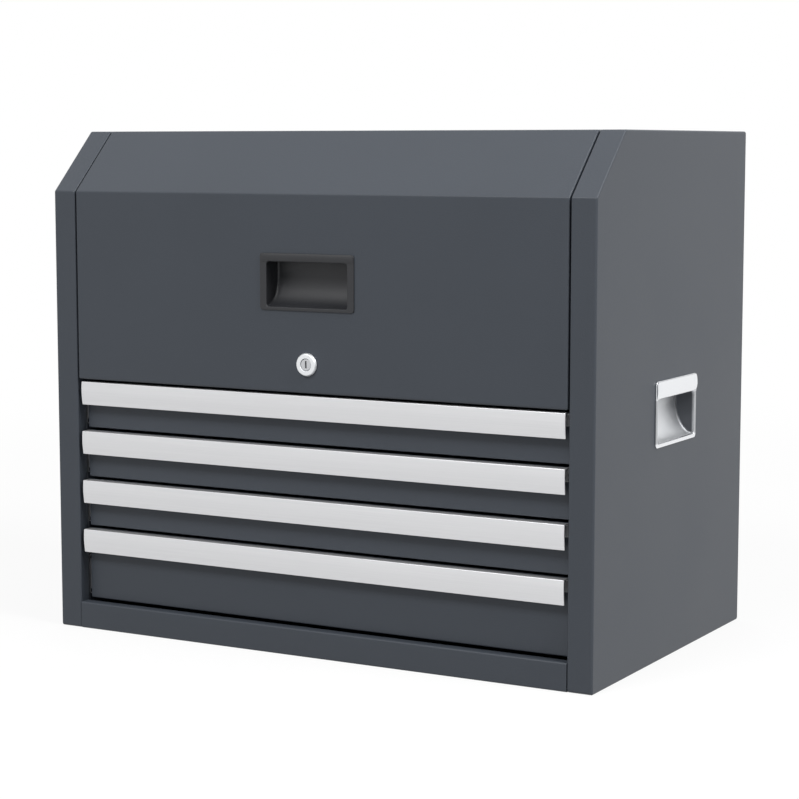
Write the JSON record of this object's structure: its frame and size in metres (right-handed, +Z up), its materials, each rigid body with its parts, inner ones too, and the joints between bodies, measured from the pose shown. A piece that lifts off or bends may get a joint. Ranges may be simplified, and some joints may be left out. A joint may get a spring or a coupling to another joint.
{
  "type": "tool chest",
  "caption": "Steel tool chest with a sloped lift-up lid over a deep till, and drawers with aluminium pulls on ball slides.",
  "frame": {"origin": "on the floor, at the middle of the base panel's underside", "axes": "+Z up, -Y towards the drawer fronts, +X to the right seen from the front"},
  "size_m": [0.67, 0.4098, 0.558],
  "materials": {
    "case_paint": "dark charcoal powder coat, fine satin texture",
    "inner_paint": "dark charcoal powder coat, satin",
    "pull_aluminium": "satin anodised, brushed along its length",
    "zinc_steel": "bright zinc plate",
    "lid_pull_plastic": "black, lightly grained",
    "handle_chrome": "satin chrome plate",
    "strut_black": "black semi-gloss paint",
    "rod_chrome": "ground and plated"
  },
  "bodies": {
    "case": {"side_wall_left": "case_paint", "side_wall_right": "case_paint", "back_panel": "case_paint", "base_panel": "inner_paint", "front_bottom_rail": "case_paint", "front_top_rail": "case_paint", "till_floor": "inner_paint", "slide_upright_front_left": "case_paint", "slide_upright_front_right": "case_paint", "slide_upright_rear_left": "case_paint", "slide_upright_rear_right": "case_paint", "side_handle_left": "handle_chrome", "side_handle_right": "handle_chrome", "hinge_leaf_case": "zinc_steel", "hinge_pin": "zinc_steel", "strut_bracket_left": "zinc_steel", "strut_bracket_right": "zinc_steel", "drawer_1_slide_outer_left": "zinc_steel", "drawer_1_slide_outer_right": "zinc_steel", "drawer_2_slide_outer_left": "zinc_steel", "drawer_2_slide_outer_right": "zinc_steel", "drawer_3_slide_outer_left": "zinc_steel", "drawer_3_slide_outer_right": "zinc_steel", "drawer_4_slide_outer_left": "zinc_steel", "drawer_4_slide_outer_right": "zinc_steel"},
    "lid": {"lid_panel": "case_paint", "lid_pull": "lid_pull_plastic", "hinge_leaf_lid": "zinc_steel", "lock_housing": "handle_chrome", "lock_nut": "zinc_steel"},
    "lock": {"lock_plug": "handle_chrome", "lock_cam": "zinc_steel"},
    "strut_tube_left": {"strut_tube_left": "strut_black"},
    "strut_rod_left": {"strut_rod_left": "rod_chrome"},
    "strut_tube_right": {"strut_tube_right": "strut_black"},
    "strut_rod_right": {"strut_rod_right": "rod_chrome"},
    "drawer_1": {"drawer_1_tray": "case_paint", "drawer_1_pull": "pull_aluminium", "drawer_1_slide_inner_left": "zinc_steel", "drawer_1_slide_inner_right": "zinc_steel"},
    "drawer_1_middle": {"drawer_1_slide_middle_left": "zinc_steel", "drawer_1_slide_middle_right": "zinc_steel"},
    "drawer_2": {"drawer_2_tray": "case_paint", "drawer_2_pull": "pull_aluminium", "drawer_2_slide_inner_left": "zinc_steel", "drawer_2_slide_inner_right": "zinc_steel"},
    "drawer_2_middle": {"drawer_2_slide_middle_left": "zinc_steel", "drawer_2_slide_middle_right": "zinc_steel"},
    "drawer_3": {"drawer_3_tray": "case_paint", "drawer_3_pull": "pull_aluminium", "drawer_3_slide_inner_left": "zinc_steel", "drawer_3_slide_inner_right": "zinc_steel"},
    "drawer_3_middle": {"drawer_3_slide_middle_left": "zinc_steel", "drawer_3_slide_middle_right": "zinc_steel"},
    "drawer_4": {"drawer_4_tray": "case_paint", "drawer_4_pull": "pull_aluminium", "drawer_4_slide_inner_left": "zinc_steel", "drawer_4_slide_inner_right": "zinc_steel"},
    "drawer_4_middle": {"drawer_4_slide_middle_left": "zinc_steel", "drawer_4_slide_middle_right": "zinc_steel"}
  },
  "joints": [
    {"name": "lid_hinge", "type": "hinge", "parent": "case", "child": "lid", "pos_m": [0, 0.1987, 0.5537], "axis": [-1, 0, 0], "range_deg": [0, 85]},
    {"name": "lock_turn", "type": "hinge", "parent": "lid", "child": "lock", "pos_m": [0, -0.203, 0.314], "axis": [0, 1, 0], "range_deg": [0, 90]},
    {"name": "strut_swing_left", "type": "hinge", "parent": "case", "child": "strut_tube_left", "pos_m": [-0.29, 0.165, 0.37], "axis": [-1, 0, 0], "range_deg": [0, 15.42]},
    {"name": "strut_extend_left", "type": "slide", "parent": "strut_tube_left", "child": "strut_rod_left", "axis": [0, -0.2312, 0.9729], "range_m": [0, 0.08501]},
    {"name": "strut_swing_right", "type": "hinge", "parent": "case", "child": "strut_tube_right", "pos_m": [0.29, 0.165, 0.37], "axis": [-1, 0, 0], "range_deg": [0, 15.42]},
    {"name": "strut_extend_right", "type": "slide", "parent": "strut_tube_right", "child": "strut_rod_right", "axis": [0, -0.2312, 0.9729], "range_m": [0, 0.08501]},
    {"name": "drawer_1_slide", "type": "slide", "parent": "case", "child": "drawer_1", "axis": [0, -1, 0], "range_m": [0, 0.33]},
    {"name": "drawer_1_middle_slide", "type": "slide", "parent": "case", "child": "drawer_1_middle", "axis": [0, -1, 0], "range_m": [0, 0.1652]},
    {"name": "drawer_2_slide", "type": "slide", "parent": "case", "child": "drawer_2", "axis": [0, -1, 0], "range_m": [0, 0.33]},
    {"name": "drawer_2_middle_slide", "type": "slide", "parent": "case", "child": "drawer_2_middle", "axis": [0, -1, 0], "range_m": [0, 0.1652]},
    {"name": "drawer_3_slide", "type": "slide", "parent": "case", "child": "drawer_3", "axis": [0, -1, 0], "range_m": [0, 0.33]},
    {"name": "drawer_3_middle_slide", "type": "slide", "parent": "case", "child": "drawer_3_middle", "axis": [0, -1, 0], "range_m": [0, 0.1652]},
    {"name": "drawer_4_slide", "type": "slide", "parent": "case", "child": "drawer_4", "axis": [0, -1, 0], "range_m": [0, 0.33]},
    {"name": "drawer_4_middle_slide", "type": "slide", "parent": "case", "child": "drawer_4_middle", "axis": [0, -1, 0], "range_m": [0, 0.1652]}
  ],
  "couplings": [
    {"joint": "strut_swing_left", "follows": "lid_hinge", "ratio": 0.18133},
    {"joint": "strut_extend_left", "follows": "lid_hinge", "m_per_rad": 0.057286},
    {"joint": "strut_swing_right", "follows": "lid_hinge", "ratio": 0.18133},
    {"joint": "strut_extend_right", "follows": "lid_hinge", "m_per_rad": 0.057286},
    {"joint": "drawer_1_middle_slide", "follows": "drawer_1_slide", "ratio": 0.5},
    {"joint": "drawer_2_middle_slide", "follows": "drawer_2_slide", "ratio": 0.5},
    {"joint": "drawer_3_middle_slide", "follows": "drawer_3_slide", "ratio": 0.5},
    {"joint": "drawer_4_middle_slide", "follows": "drawer_4_slide", "ratio": 0.5}
  ]
}
